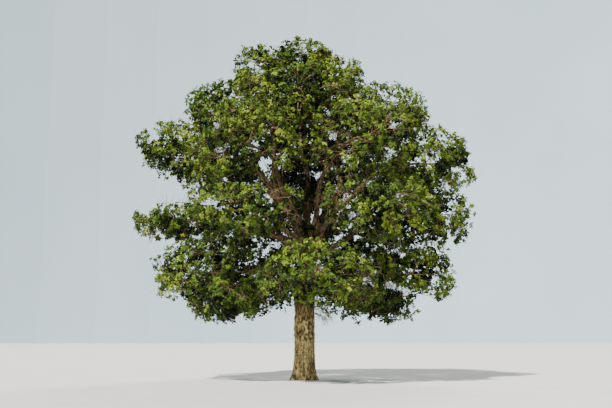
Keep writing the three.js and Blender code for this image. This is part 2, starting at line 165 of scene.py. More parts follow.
def seeded_random(seed):
    """The solids' random numbers from 0 to 1, the same ones each time for one seed."""
    state = seed & 0xFFFFFFFF

    def draw():
        nonlocal state
        state = (state + 0x6D2B79F5) & 0xFFFFFFFF
        t = ((state ^ (state >> 15)) * (state | 1)) & 0xFFFFFFFF
        t ^= (t + (((t ^ (t >> 7)) * (t | 61)) & 0xFFFFFFFF)) & 0xFFFFFFFF
        return ((t ^ (t >> 14)) & 0xFFFFFFFF) / 4294967296

    return draw


def unit(vector):
    return vector / np.maximum(np.linalg.norm(vector, axis=-1, keepdims=True), 1e-9)


def ramped(values, low, high):
    """Values from 0 at low and below to 1 at high and above."""
    return np.clip((values - low) / (high - low), 0, 1)


def direction(azimuth, slope=0.0):
    turn = math.radians(azimuth)
    lift = math.radians(slope)
    return np.array([math.sin(turn) * math.cos(lift), -math.cos(turn) * math.cos(lift), math.sin(lift)])


def trunk_centre(height):
    """The centre line of the trunk, which runs on as a crooked leader."""
    height = np.asarray(height, float)
    above = np.maximum(0, height / FORK_HEIGHT - CROOK_START)
    sideways = TRUNK_CROOK * np.minimum(1, above)
    forward = sideways * CROOK_DEPTH
    return np.stack([
        LEAN * height + sideways * np.sin(above * CROOK_SIDEWAYS),
        forward * np.sin(above * CROOK_FORWARD + CROOK_PHASE) - forward * math.sin(CROOK_PHASE),
        height,
    ], -1)


def trunk_radius(height, angle=0.0):
    stem = TRUNK_RADIUS * (1 - STEM_TAPER * height / FORK_HEIGHT)
    climb = np.maximum(0, (height - FORK_HEIGHT) / (TRUNK_TOP - FORK_HEIGHT))
    leader = LEADER_TIP + (LEADER_RADIUS - LEADER_TIP) * (1 - climb)
    t = np.clip((height - FORK_HEIGHT + FORK_SPAN) / (2 * FORK_SPAN), 0, 1)
    passed = t * t * (3 - 2 * t)
    flare = FLARE * np.exp(-height / FLARE_HEIGHT)
    ridges = BUTTRESS_DEPTH * np.exp(-height / (2 * FLARE_HEIGHT)) * np.cos(BUTTRESSES * angle)
    bulge = CROTCH_BULGE * np.exp(-(((height - CROTCH_HEIGHT) / CROTCH_SPAN) ** 2))
    return (stem * (1 - passed) + leader * passed) * (1 + flare + ridges + bulge)


class Mass:
    """A mass of foliage: its squarish space, and the place where it is entered."""

    def __init__(self, tier, number):
        spec = TIERS[tier]
        self.name = f"{tier}_{number + 1}"
        self.tier = tier
        self.number = number
        self.spec = spec
        change = DIFFERENCES.get(self.name, {})
        share = {key: spec[key] + change.get(key, 0) for key in SIZES}
        self.random = seeded_random(SEED + NUMBER_SEED * number + TIER_SEED * list(TIERS).index(tier))
        self.azimuth = spec["azimuths"][number] + AZIMUTH_SPREAD * (2 * self.random() - 1)
        self.half = CROWN_RADIUS * np.array([share[key] * self.vary(HALF_SPREAD) for key in HALF_SIZES])
        outward = direction(self.azimuth)
        self.axes = np.array([outward, np.cross(UP, outward), UP])
        level = share["height"] * HEIGHT * self.vary(LEVEL_SPREAD)
        reach = share["reach"] * CROWN_RADIUS - self.half[0]
        self.centre = reach * outward + level * UP
        self.hand = 1 if number % 2 == 0 else -1

    def vary(self, share):
        """A seeded factor that lies at most a share away from 1."""
        return 1 + share * (2 * self.random() - 1)

    def part_from(self, masses):
        """The planes that part this mass from its neighbours."""
        others = [other for other in masses if other is not self]
        towards = np.array([other.centre - self.centre for other in others])
        apart = np.linalg.norm(towards, axis=1)
        spread = self.half.mean() ** 2 - np.array([other.half.mean() for other in others]) ** 2
        self.normals = towards / apart[:, None]
        self.most = (apart ** 2 + spread) / (2 * apart)

    def holds(self, points):
        """Whether each point lies in the mass's space, which ends raggedly towards its neighbours."""
        offset = np.asarray(points) - self.centre
        size = (np.abs(offset @ self.axes.T / self.half) ** LEAF_SQUARENESS).sum(-1)
        ragged = PARTING_RAGGED * value_noise(np.asarray(points) * PARTING_GRAIN)[..., None]
        return (size <= 1) & (offset @ self.normals.T <= self.most + ragged).all(-1)


class Bough:
    """The centre line and the radius of the limb that carries a mass."""

    def __init__(self, mass, limbs):
        spec = mass.spec
        if mass.name in FORKS:
            parent, at = FORKS[mass.name]
            start = limbs[parent].centre(at)
            self.parent_radius = float(limbs[parent].radius(at))
        else:
            level = spec["leaves"] * HEIGHT * mass.vary(LEAVES_SPREAD)
            start = trunk_centre(level)
            self.parent_radius = float(trunk_radius(level))
        self.end = mass.centre - ENTRY * mass.half[0] * mass.axes[0]
        towards = self.end - start
        heading = math.degrees(math.atan2(towards[0], -towards[1]))
        self.length = float(np.linalg.norm(towards))
        self.points = np.array([
            start,
            start + START_PULL * self.length * direction(heading, spec["rise"]),
            self.end - END_PULL * self.length * direction(mass.azimuth, spec["droop"]),
            self.end,
        ])
        self.phase = 2 * math.pi * mass.random()
        self.aside = np.cross(UP, direction(heading))
        self.base = spec["radius"] * TRUNK_RADIUS

    def centre(self, along):
        """A cubic curve with a swing laid over it."""
        t = np.asarray(along, float)[..., None]
        a, b, c, d = self.points
        curve = (1 - t) ** 3 * a + 3 * t * (1 - t) ** 2 * b + 3 * t * t * (1 - t) * c + t ** 3 * d
        swing = BOUGH_CROOK * self.length * np.sin(np.pi * np.clip(t, 0, 1)) ** CROOK_EASE
        return (curve + swing * np.sin(CROOK_ASIDE * t + self.phase) * self.aside
                + CROOK_RISE * swing * np.sin(CROOK_UP * t + 2 * self.phase) * UP)

    def radius(self, along):
        out = np.maximum(0, along * self.length - self.parent_radius)
        collar = 1 + COLLAR * np.exp(-out / (COLLAR_LENGTH * self.base)) * (1 - along)
        emerged = np.minimum(1, along * self.length / self.parent_radius)
        taper = BOUGH_TIP + (self.base - BOUGH_TIP) * (1 - along) ** BOUGH_TAPER
        return taper * collar * (ROOT_SHARE + (1 - ROOT_SHARE) * emerged)


MASSES = [Mass(tier, number) for tier, spec in TIERS.items() for number in range(len(spec["azimuths"]))]
for mass in MASSES:
    mass.part_from(MASSES)
LIMBS = {}
for mass in sorted(MASSES, key=lambda mass: BUILD_ORDER.index(mass.tier)):
    if mass.spec["radius"]:
        LIMBS[mass.name] = Bough(mass, LIMBS)
        mass.entry = LIMBS[mass.name].end
    else:
        mass.entry = trunk_centre((mass.spec["leaves"] + CREST_STEP * mass.number) * HEIGHT)


# Meshes from arrays

NOISE_PRIMES = np.array([73856093, 19349663, 83492791])
NOISE_FACTOR = 1274126177
UPRIGHT = 0.8  # climb of a line for its length, above which it counts as upright


def value_noise(points):
    """Smooth seeded noise from -1 to 1, one value for each point."""
    cell = np.floor(points).astype(np.int64)
    share = points - cell
    share = share * share * (3 - 2 * share)
    total = np.zeros(points.shape[:-1])
    for corner in np.ndindex(2, 2, 2):
        place = (cell + corner) * NOISE_PRIMES
        mixed = (place[..., 0] ^ place[..., 1] ^ place[..., 2]) & 0xFFFFFFFF
        mixed = ((mixed ^ (mixed >> 13)) * NOISE_FACTOR) & 0xFFFFFFFF
        mixed = mixed ^ (mixed >> 16)
        weight = np.where(corner, share, 1 - share).prod(-1)
        total += weight * (mixed / 2 ** 31 - 1)
    return total


def make_piece(name, vertices, faces, material, slot, nodes, plates=None):
    """One joined mesh that stands for some of the solids. plates is the bark's height at each vertex, with
    the trunk's painted shade multiplied in.
    """
    mesh = bpy.data.meshes.new(name)
    mesh.vertices.add(len(vertices))
    mesh.vertices.foreach_set("co", np.asarray(vertices, np.float32).ravel())
    mesh.loops.add(faces.size)
    mesh.loops.foreach_set("vertex_index", np.asarray(faces, np.int32).ravel())
    mesh.polygons.add(len(faces))
    mesh.polygons.foreach_set("loop_start", np.arange(0, faces.size, faces.shape[1], dtype=np.int32))
    mesh.polygons.foreach_set("use_smooth", np.full(len(faces), plates is not None))
    mesh.update(calc_edges=True)
    if plates is not None:
        mesh.attributes.new("plates", "FLOAT", "POINT").data.foreach_set("value", plates.astype(np.float32))
    mesh.materials.append(material)
    piece = bpy.data.objects.new(name, mesh)
    bpy.context.scene.collection.objects.link(piece)
    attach(piece, "root")
    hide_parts(*nodes)


def ring_faces(count, steps, sides):
    """The faces between the rings of count tubes, with steps rings each."""
    first = (np.arange(count)[:, None, None] * steps + np.arange(steps - 1)[:, None]) * sides
    here = first + np.arange(sides)
    beside = first + (np.arange(sides) + 1) % sides
    return np.stack([here, beside, beside + sides, here + sides], -1).reshape(-1, 4)


def tubes(lines, radii, sides, relief=None):
    """The vertices and faces of tubes round some centre lines, with k points each: lines is (n, k, 3), radii
    is (n, k) and relief, which is added to the radius, is (n, k, sides)."""
    heading = unit(np.gradient(lines, axis=1))
    overall = unit(lines[:, -1] - lines[:, 0])
    hint = np.where(np.abs(overall[:, 2:]) > UPRIGHT, [1.0, 0.0, 0.0], UP)[:, None]
    aside = unit(np.cross(hint, heading))
    over = np.cross(heading, aside)
    angle = 2 * np.pi * np.arange(sides) / sides
    ring = (np.cos(angle)[:, None] * aside[:, :, None] + np.sin(angle)[:, None] * over[:, :, None])
    radius = np.repeat(radii[:, :, None], sides, axis=2)
    if relief is not None:
        radius = radius + relief
    vertices = lines[:, :, None] + radius[..., None] * ring
    return vertices.reshape(-1, 3), ring_faces(*radii.shape, sides)


def tapering(lines, first, last, sides):
    """Tubes that narrow evenly from their first point to their last."""
    count, steps, _ = lines.shape
    return tubes(lines, np.broadcast_to(np.linspace(first, last, steps), (count, steps)), sides)


def join(parts):
    """Several lots of vertices and faces as one."""
    offsets = np.cumsum([0] + [len(vertices) for vertices, _ in parts[:-1]])
    vertices = np.concatenate([vertices for vertices, _ in parts])
    return vertices, np.concatenate([faces + offset for (_, faces), offset in zip(parts, offsets)])


# Materials

BARK_ROUGHNESS, BARK_SPECULAR = 0.92, 0.2
BLOTCH_SCALE, BLOTCH_DETAIL = 9, 5
BLOTCH_DARK, BLOTCH_PALE = 0.14, 0.5  # where the bark's ramp turns dark and pale
GRAIN_SCALE, GRAIN_DETAIL = 40, 6
GRAIN_STRENGTH = 0.5
GRAIN_DEPTH = 0.01
LEAF_ROUGHNESS, LEAF_SPECULAR = 0.6, 0.15
MOTTLE_SCALE, MOTTLE_DETAIL = 2.2, 2
MOTTLE_DEEP, MOTTLE_FULL = 0.4, 0.6
MOTTLE_SHADE = 0.8  # of a leaf's colour, where it is deepest


def node_material(name, roughness, specular):
    material = bpy.data.materials.new(name)
    material.use_nodes = True
    shader = material.node_tree.nodes["Principled BSDF"]
    shader.inputs["Roughness"].default_value = roughness
    shader.inputs["Specular IOR Level"].default_value = specular
    return material, material.node_tree.nodes, material.node_tree.links, shader


def noise_node(nodes, links, scale, detail, stretch=(1, 1, 1)):
    place = nodes.new("ShaderNodeTexCoord")
    mapping = nodes.new("ShaderNodeMapping")
    mapping.inputs["Scale"].default_value = stretch
    links.new(place.outputs["Object"], mapping.inputs["Vector"])
    noise_texture = nodes.new("ShaderNodeTexNoise")
    noise_texture.inputs["Scale"].default_value = scale
    noise_texture.inputs["Detail"].default_value = detail
    links.new(mapping.outputs["Vector"], noise_texture.inputs["Vector"])
    return noise_texture


def ramp_node(nodes, links, factor, stops):
    ramp = nodes.new("ShaderNodeValToRGB")
    for element, (position, colour) in zip(ramp.color_ramp.elements, stops):
        element.position = position
        element.color = (*colour, 1)
    links.new(factor, ramp.inputs["Fac"])
    return ramp


def mottled_material(name, roughness, specular, noise, stops):
    """One colour that drifts into another, with noise given as its scale and detail."""
    material, nodes, links, shader = node_material(name, roughness, specular)
    drift = noise_node(nodes, links, *noise)
    ramp = ramp_node(nodes, links, drift.outputs["Fac"], stops)
    links.new(ramp.outputs["Color"], shader.inputs["Base Color"])
    return material


def bark_material(name, pale, dark, stretch, furrowed):
    """Brown bark with a fine grain. Where it is furrowed, its plates are paler than the furrows."""
    material, nodes, links, shader = node_material(name, BARK_ROUGHNESS, BARK_SPECULAR)
    blotches = noise_node(nodes, links, BLOTCH_SCALE, BLOTCH_DETAIL, stretch)
    height = blotches.outputs["Fac"]
    if furrowed:
        # the plates attribute holds the bark's height and, on the trunk, its painted shade
        plates = nodes.new("ShaderNodeAttribute")
        plates.attribute_name = "plates"
        both = nodes.new("ShaderNodeMath")
        both.operation = "MULTIPLY"
        links.new(plates.outputs["Fac"], both.inputs[0])
        links.new(blotches.outputs["Fac"], both.inputs[1])
        height = both.outputs["Value"]
    ramp = ramp_node(nodes, links, height, [(BLOTCH_DARK, dark), (BLOTCH_PALE, pale)])
    links.new(ramp.outputs["Color"], shader.inputs["Base Color"])
    grain = noise_node(nodes, links, GRAIN_SCALE, GRAIN_DETAIL, stretch)
    bump = nodes.new("ShaderNodeBump")
    bump.inputs["Strength"].default_value = GRAIN_STRENGTH
    bump.inputs["Distance"].default_value = GRAIN_DEPTH
    links.new(grain.outputs["Fac"], bump.inputs["Height"])
    links.new(bump.outputs["Normal"], shader.inputs["Normal"])
    return material


def leaf_material(name, colour):
    """A leaf green that turns a little deeper here and there in the crown."""
    deeper = [MOTTLE_SHADE * channel for channel in colour]
    return mottled_material(name, LEAF_ROUGHNESS, LEAF_SPECULAR, (MOTTLE_SCALE, MOTTLE_DETAIL),
                            [(MOTTLE_DEEP, deeper), (MOTTLE_FULL, colour)])


# Bark

TRUNK_PALE, TRUNK_DARK = (0.52, 0.395, 0.165), (0.06, 0.042, 0.018)
# The boughs' browns are darker than the trunk's: partly their own bark, partly painted shade inside the crown
BOUGH_PALE, BOUGH_DARK = (0.22, 0.148, 0.078), (0.026, 0.018, 0.01)
TWIG_PALE, TWIG_DARK = (0.19, 0.13, 0.065), (0.06, 0.04, 0.02)
EVEN = (1, 1, 1)
LENGTHWISE = (1, 1, 0.2)  # stretches the trunk's grain along it

# The furrows, as waves of noise in a metre of bark
FURROW_WAVES = [32.0, 32.0, 6.0]
FURROW_SHARE = 0.55  # of the noise's height that the sides of a furrow take up
FURROW_ROUNDING = 0.7
FURROW_WANDER = 0.25 * np.array([0.3, 0.3, 1])
WANDER_WAVES = 1.7
FINE_FURROWS = 2.3  # times as close as the others
FINE_SHARE = 0.25
FINE_SHIFT = 17
PLATE_LEVEL = 0.7  # the bark's height that lies on the solid's surface

TRUNK_FURROW = 0.03
FURROW_FADE = 1.5  # above 1, furrows grow shallow faster than the trunk narrows
TRUNK_LUMPS = 0.05
TRUNK_LUMP_WAVES = [2.2, 2.2, 0.8]
TRUNK_LUMP_SHIFT = 5
TRUNK_SIDES = 150
TRUNK_RINGS = 210
SHADE_LEVELS = [0.165 * HEIGHT, 0.21 * HEIGHT]  # between which painted shade darkens the trunk up into the crown
# how far the painted shade darkens the bark at the top of that span
LEADER_SHADE = 0.5

# The knobbly burrs round the trunk
BURR_LEVEL = 0.145 * HEIGHT
BURR_SPAN = 0.04 * HEIGHT
BURR_EDGE = 4  # power that ends the burrs sharply above and below
BURR_DEPTH = 0.12
BURR_WAVES = [13, 13, 10]
BURR_SHARE = 0.8  # of the furrows that the burrs take the place of
BURR_TONE = 0.5
BURR_CONTRAST = 0.8

BOUGH_FURROW = 0.14  # of the radius, as are the lumps
BOUGH_LUMPS = 0.12
BOUGH_LUMP_WAVES = [3, 3, 1.5]
BOUGH_SIDES = 22
BOUGH_RINGS = 56
BOUGH_RING_SPREAD = 1.2
BOUGH_APART = 7.0  # between the boughs' places in the noise
GIRTH_POWER = 0.4  # below 1, furrows narrow less than the bough does


def bark_plates(points):
    """The bark's height from 0 in a furrow to 1 on a plate, for points on a limb laid along Z."""
    wander = value_noise(points * WANDER_WAVES)[..., None] * FURROW_WANDER
    grain = (points + wander) * FURROW_WAVES
    ridge = np.minimum(1, np.abs(value_noise(grain)) / FURROW_SHARE)
    finer = np.minimum(1, np.abs(value_noise(grain * FINE_FURROWS + FINE_SHIFT)) / FURROW_SHARE)
    return (1 - FINE_SHARE) * ridge ** FURROW_ROUNDING + FINE_SHARE * finer


def trunk_mesh():
    """The trunk's vertices and faces, and the bark's height at each vertex, darkened by painted shade up into
    the crown.
    """
    height = TRUNK_TOP * np.linspace(0, 1, TRUNK_RINGS)[:, None] ** RING_SPREAD
    angle = 2 * np.pi * np.arange(TRUNK_SIDES) / TRUNK_SIDES
    ring = np.stack([np.sin(angle), -np.cos(angle), 0 * angle], -1)
    mean = trunk_radius(height)
    points = TRUNK_RADIUS * ring + height[..., None] * UP
    burred = np.exp(-(((height - BURR_LEVEL) / BURR_SPAN) ** BURR_EDGE))
    knobs = value_noise(points * BURR_WAVES)
    lumps = TRUNK_LUMPS * value_noise(points * TRUNK_LUMP_WAVES + TRUNK_LUMP_SHIFT)
    furrowed = (1 - BURR_SHARE * burred) * bark_plates(points)
    plates = furrowed + BURR_SHARE * burred * (BURR_TONE + BURR_CONTRAST * knobs)
    depth = TRUNK_FURROW * np.minimum(1, mean / TRUNK_RADIUS) ** FURROW_FADE
    radius = trunk_radius(height, angle) + mean * (lumps + BURR_DEPTH * burred * knobs)
    radius = radius + depth * (plates - PLATE_LEVEL)
    vertices = trunk_centre(height) + radius[..., None] * ring
    # painted shade: the bark darkens up into the crown, where the leaves shade it
    shaded = LEADER_SHADE * ramped(height, *SHADE_LEVELS)
    return vertices.reshape(-1, 3), ring_faces(1, TRUNK_RINGS, TRUNK_SIDES), (plates * (1 - shaded)).ravel()


def bough_relief(lines, radii, angle):
    """What the bark adds to the boughs' radii, and its height."""
    run = np.linalg.norm(np.diff(lines, axis=1, prepend=lines[:, :1]), axis=-1).cumsum(axis=1)
    start = BOUGH_APART * np.arange(len(lines))[:, None, None]
    girth = radii[:, :, None] ** GIRTH_POWER * radii.max() ** (1 - GIRTH_POWER)
    points = np.stack(np.broadcast_arrays(
        girth * np.cos(angle) + start, girth * np.sin(angle), run[:, :, None] + start), -1)
    lumps = BOUGH_LUMPS * value_noise(points * BOUGH_LUMP_WAVES)
    plates = bark_plates(points)
    return radii[:, :, None] * (lumps + BOUGH_FURROW * (plates - PLATE_LEVEL)), plates


def bough_mesh():
    """The boughs' vertices and faces, and the bark's height at each vertex."""
    along = np.linspace(0, 1, BOUGH_RINGS) ** BOUGH_RING_SPREAD
    lines = np.array([limb.centre(along) for limb in LIMBS.values()])
    radii = np.array([limb.radius(along) for limb in LIMBS.values()])
    relief, plates = bough_relief(lines, radii, 2 * np.pi * np.arange(BOUGH_SIDES) / BOUGH_SIDES)
    return *tubes(lines, radii, BOUGH_SIDES, relief), plates.ravel()


# Twigs and leaves. Every random draw comes from rng, so their order is part of the tree's shape.

rng = np.random.default_rng(SEED)

# The wood of a mass: a stem, main twigs on it, and a twig to the middle of each tuft of leaves
STEM_REACH = 0.3
STEM_SPREAD = 0.2
STEM_BEND = 0.5
STEM_STEPS = 8
STEM_SIDES = 8
MAIN_TWIGS = 9
MAIN_RADIUS = 0.032
MAIN_REACH = 0.5  # of the way from a mass's middle to its outline
MAIN_BEND = 0.5
MAIN_STEPS = 7
MAIN_SIDES = 5
FIRST_TWIG = 0.1
LAST_TWIG = 0.97
TUFT_ROOTS = np.linspace(0.35, 1, 5)  # where tufts' twigs may leave a main twig
TUFT_TWIG_RADIUS = 0.017
TUFT_TWIG_SPREAD = 0.3
TUFT_TWIG_BEND = 0.45
TUFT_TWIG_STEPS = 6
BRANCHLET_RADIUS = 0.009
TWIGLET_RADIUS = 0.005
THIN_SIDES = 3

# Tufts: where they stand in a mass or round the trunk, and their size
TUFTS_PER_SQUARE = 0.7  # on a square metre of the mass's outline
TIP_FULLNESS = 1.7
SURFACE_POWER = 1.6
INNER_EVERY = 4
INNER_REACH = [0.4, 0.72]
TUFT_REACH = 0.82
REACH_SPREAD = [0.85, 1.05]
TUFT_SPREAD = 0.12
TUFT_RADIUS = 0.56
TUFT_SIZES = [0.8, 1.2]
TUFT_SINK = 0.3  # of a tuft's radius that has to lie in its mass, beyond its middle
LENGTH_TRIES = [0.85, 0.7, 0.56]  # shares of the full length tried until it does
LEADER_TUFTS = 48
LEADER_LEVELS = [0.39 * HEIGHT, 0.76 * HEIGHT]
LEADER_AWAY = [0.5, 1.9]
CROTCH_TUFTS = 13
CROTCH_LEVELS = [0.192 * HEIGHT, 0.262 * HEIGHT]
CROTCH_AWAY = [0.75, 1.6]
TRUNK_TUFT_RISE = 0.35
# The parts of where a tuft faces
FROM_MASS = 0.6
FROM_CROWN = 0.6
UPWARD = 0.35

# Branchlets and twiglets, with a rosette of leaves at each tip
BRANCHLETS = 10
BRANCHLET_ROOTS = [0.5, 1]  # where they leave a tuft's twig
BRANCHLET_SPREAD = 0.2
BRANCHLET_LENGTHS = [0.85, 1.1]
TUFT_UNDERSIDE = -0.35  # least cosine between an outer tuft's branchlets and where it faces
ROSETTES = [0.5, 0.75, 1.0]  # where rosettes stand on a branchlet
TWIGLET_LENGTH = 0.24
TWIGLET_LENGTHS = [0.8, 1.2]
TWIGLET_OUTWARD = 0.8
TWIGLET_FORWARD = 0.4
LEAFY_SHARE = 0.6  # of a twiglet that carries leaves
# The parts of where a rosette faces
FROM_TUFT = 0.8
AS_TUFT = 0.5
TO_SKY = 0.35
ASTRAY = 0.25

# Leaves: a lobed outline, folded along its midrib and drooping at its tip
LEAVES_EACH = 6
LEAF_LENGTH = 0.152
LEAF_LENGTHS = [0.75, 1.15]
INNER_LEAF = 1.3
LEAF_WIDTH = 0.66
LEAF_OUTLINE = np.array([[0, 0], [0.36, 0.46], [0.56, 0.29], [1, 0.06], [0.72, -0.5], [0.27, -0.34]])
LEAF_FACES = np.array([[0, 2, 1], [0, 3, 2], [0, 4, 3], [0, 5, 4]])
LEAF_FOLD = 0.3
LEAF_DROOP = 0.2
LEAF_PITCH = [-0.15, 0.95]
LEAF_TILT = 0.25
ASKEW = [0.31, 0.77, 0.56]  # a direction that no rosette faces

# The greens, from the deepest shade to full sun, and how a rosette's place chooses one
GREENS = {
    "leaves_deep": (0.004, 0.011, 0.002),
    "leaves_dark": (0.014, 0.031, 0.004),
    "leaves_shady": (0.032, 0.065, 0.007),
    "leaves_green": (0.052, 0.098, 0.009),
    "leaves_fresh": (0.08, 0.138, 0.012),
    "leaves_bright": (0.12, 0.185, 0.015),
    "leaves_sunny": (0.17, 0.24, 0.02),
    "leaves_yellow": (0.24, 0.3, 0.028),
}
LEAST_LIGHT = 1.25
OUTER_LIGHT = 2.4
RAISED_LIGHT = 1.9  # on a tuft's sunny side
SUNNY_UP = 0.8
SUNNY_OUT = 0.5
INNER_SHADE = 2.2
TUFT_LIGHT = 0.8  # how far the light varies between tufts, as it does between branchlets and rosettes
BRANCHLET_LIGHT = 0.8
ROSETTE_LIGHT = 0.8
SHADY_WITHIN = [0.45, 0.85]  # shares of the way out from the crown's middle

# The crown's outline
CROWN_MIDDLE = np.array([0, 0, 0.46 * HEIGHT])
CROWN_HALF = np.array([CROWN_RADIUS, CROWN_RADIUS, 0.54 * HEIGHT])
PAST_BOX = 0.02  # of the size of the solids' box, by which leaves may pass it
LEAF_ROOM = 1.2 * LEAF_LENGTH  # beyond a twig's tip
REACH_MARGIN = PAST_BOX * (CAD_HIGH - CAD_LOW) - LEAF_ROOM
REACH_LOW, REACH_HIGH = CAD_LOW - REACH_MARGIN, CAD_HIGH + REACH_MARGIN
HEM_RADII = [3.9, 4.5, 5.5, 6.1]
HEM_LEVELS = [0.171 * HEIGHT, 0.147 * HEIGHT, 0.147 * HEIGHT, 0.22 * HEIGHT]
BROW_RADIUS = 3.9
BROW_LEVEL = 0.84 * HEIGHT
BROW_SLOPE = 0.25
CREST_LEVEL = 0.965 * HEIGHT
PEAK_RADIUS = 0.6
PEAK_SLOPE = 0.6

# Where leaves are few: deep in the crown, against the limbs, and in a window in the middle of its front
BARE_WITHIN = [0.02, 0.1]
LIMB_CLEARANCE = 0.1
LIMB_MARKS = 60
TRUNK_MARKS = 120
BATCH = 2000
WINDOW_LEVEL = 0.54 * HEIGHT
WINDOW_HALF = [3.2, 2.8]
WINDOW_OPENNESS = 0.36
# The limbs that show there, and the share of the leaves before them that is left out
SHOWN_LIMBS = ["upper_1", "upper_2", "upper_3", "upper_4", "shoulder_2", "shoulder_3"]
SHOWN_SPAN = [0.3, 0.8]
SHOWN_MARGIN = 0.07
SHOWN_SHARE = 0.75
EYE_DISTANCE = 42
EYE_LEVEL = 1.9

# Gaps that show sky from the front: across, level and radius
SKY_GAPS = [
    (-4.6, 12.9, 0.25), (4.6, 12.9, 0.25), (-4.4, 11.5, 0.25), (4.4, 11.5, 0.25), (-2.6, 11.7, 0.2),
    (1.4, 12.4, 0.25), (1.2, 13.6, 0.15), (-2.0, 11.0, 0.2), (0.8, 10.3, 0.25), (-1.7, 9.3, 0.2),
    (1.7, 9.3, 0.2), (2.4, 8.2, 0.2), (-1.4, 6.7, 0.2), (1.5, 6.7, 0.2), (-5.6, 7.8, 0.15), (3.2, 4.9, 0.3),
    (4.3, 4.6, 0.25), (5.1, 4.3, 0.3), (5.9, 3.9, 0.35),
]
GAP_MARGIN = 0.1
GAP_RAGGED = 0.6
GAP_WAVES = 4

# Bare shoots that hang from the top of the trunk's right side
SHOOTS = 18
SHOOTS_LEVEL = 3.45
SHOOTS_LEVEL_SPREAD = 0.35
SHOOTS_AZIMUTH = 75
SHOOTS_AZIMUTH_SPREAD = 35
SHOOTS_SINK = 0.85  # of the trunk's radius, where they start
SHOOTS_REACH = 1.2
SHOOTS_REACHES = [0.5, 1]
SHOOTS_DROP = 0.75
SHOOTS_DROPS = [0.4, 1]
SHOOTS_LIFT = 0.3
SHOOTS_BEND = 0.6
SHOOTS_STEPS = 7
SHOOTS_SIDES = 4
SHOOT_RADII = [0.014, 0.006]
OFFSHOOT_RADII = [0.006, 0.004]  # of the first and the second fork
OFFSHOOTS_EACH = 4
OFFSHOOT_SPOTS = [0.25, 0.9]
OFFSHOOT_SPREAD = 0.8
OFFSHOOT_LENGTH = 0.28
OFFSHOOT_LENGTHS = [0.5, 1]
OFFSHOOT_BEND = 0.5
OFFSHOOT_STEPS = 4
OFFSHOOT_TIP = 0.003


def even_offsets(count, hand, axes, half):
    """Directions spread evenly by the golden angle, as offsets from a middle to its outline."""
    number = np.arange(count)
    rise = 1 - (2 * number + 1) / count
    turn = hand * GOLDEN_ANGLE * (number - (count - 1) / 2)
    level = np.sqrt(1 - rise ** 2)
    return (np.stack([level * np.cos(turn), level * np.sin(turn), rise], -1) * half) @ axes


def ellipsoid_surface(half):
    """The area of an ellipsoid with these half sizes, by Thomsen's formula."""
    a, b, c = half
    pairs = ((a * b) ** SURFACE_POWER + (a * c) ** SURFACE_POWER + (b * c) ** SURFACE_POWER) / 3
    return 4 * np.pi * pairs ** (1 / SURFACE_POWER)


def curved(start, end, leaving, bend, steps):
    """Lines from start to end that set out along leaving: (n, steps, 3)."""
    t = np.linspace(0, 1, steps)[:, None]
    length = np.linalg.norm(end - start, axis=-1, keepdims=True)
    middle = (start + leaving * length * bend)[:, None]
    return (1 - t) ** 2 * start[:, None] + 2 * t * (1 - t) * middle + t * t * end[:, None]


def point_on(lines, number, share):
    """Points and headings at a share of the way along lines[number]."""
    place = share * (lines.shape[1] - 1)
    low = np.minimum(place.astype(int), lines.shape[1] - 2)
    a, b = lines[number, low], lines[number, low + 1]
    return a + (place - low)[:, None] * (b - a), unit(b - a)


def how_far_out(points):
    """How far out each point lies: 0 in the crown's middle and 1 on its outline."""
    return np.linalg.norm((points - CROWN_MIDDLE) / CROWN_HALF, axis=-1)


def outside_crown(points):
    """Whether each point lies beyond the crown's reach, under its hem, which hangs lowest a little over
    halfway out, or over its peak, its crest or the brow of its shoulders."""
    out = np.hypot(points[:, 0], points[:, 1])
    hem = np.interp(out, HEM_RADII, HEM_LEVELS)
    crest = np.maximum(CREST_LEVEL, HEIGHT - PEAK_SLOPE * (out - PEAK_RADIUS))
    top = np.where(out > BROW_RADIUS, BROW_LEVEL - BROW_SLOPE * (out - BROW_RADIUS), crest)
    beyond = ((points < REACH_LOW) | (points > REACH_HIGH)).any(-1)
    return beyond | (points[:, 2] < hem) | (points[:, 2] > top)


def leafiness(points):
    """The share of the leaves that grow at some points: none deep in the crown, and fewer in the middle of
    its front, where the limbs show."""
    outer = ramped(how_far_out(points), *BARE_WITHIN)
    spread = (points[:, 0] / WINDOW_HALF[0]) ** 2 + ((points[:, 2] - WINDOW_LEVEL) / WINDOW_HALF[1]) ** 2
    window = np.where(points[:, 1] < 0, WINDOW_OPENNESS * np.exp(-spread ** 2), 0)
    return outer * (1 - window)


def limb_marks(names, along):
    """Points on the centre lines of some boughs, and the radius at each."""
    middles = np.concatenate([LIMBS[name].centre(along) for name in names])
    return middles, np.concatenate([LIMBS[name].radius(along) for name in names])


def batches(count):
    """Slices that go through count points, a batch at a time."""
    return [slice(start, start + BATCH) for start in range(0, count, BATCH)]


def near_limbs(points):
    """Whether each point lies within the clearance of a limb's bark."""
    levels = np.linspace(0, TRUNK_TOP, TRUNK_MARKS)
    middles, radii = limb_marks(LIMBS, np.linspace(0, 1, LIMB_MARKS))
    middles = np.concatenate([middles, trunk_centre(levels)])
    radii = np.concatenate([radii, trunk_radius(levels)])
    near = np.zeros(len(points), bool)
    for some in batches(len(points)):
        away = np.linalg.norm(points[some, None] - middles, axis=-1)
        near[some] = (away < radii + LIMB_CLEARANCE).any(1)
    return near


def seen_from_front(points):
    """Where points appear to an eye in front: across and level, at the trunk's distance."""
    share = EYE_DISTANCE / (EYE_DISTANCE + points[:, 1])
    return np.stack([points[:, 0] * share, EYE_LEVEL + (points[:, 2] - EYE_LEVEL) * share], -1)


def in_sky(points):
    """Whether each point lies in a gap that shows sky from the front."""
    seen = seen_from_front(points)
    ragged = 1 + GAP_RAGGED * value_noise(points * GAP_WAVES)
    open_sky = np.zeros(len(points), bool)
    for gap_across, gap_level, radius in SKY_GAPS:
        away = np.linalg.norm(seen - [gap_across, gap_level], axis=1)
        open_sky |= away < (radius + GAP_MARGIN) * ragged
    return open_sky


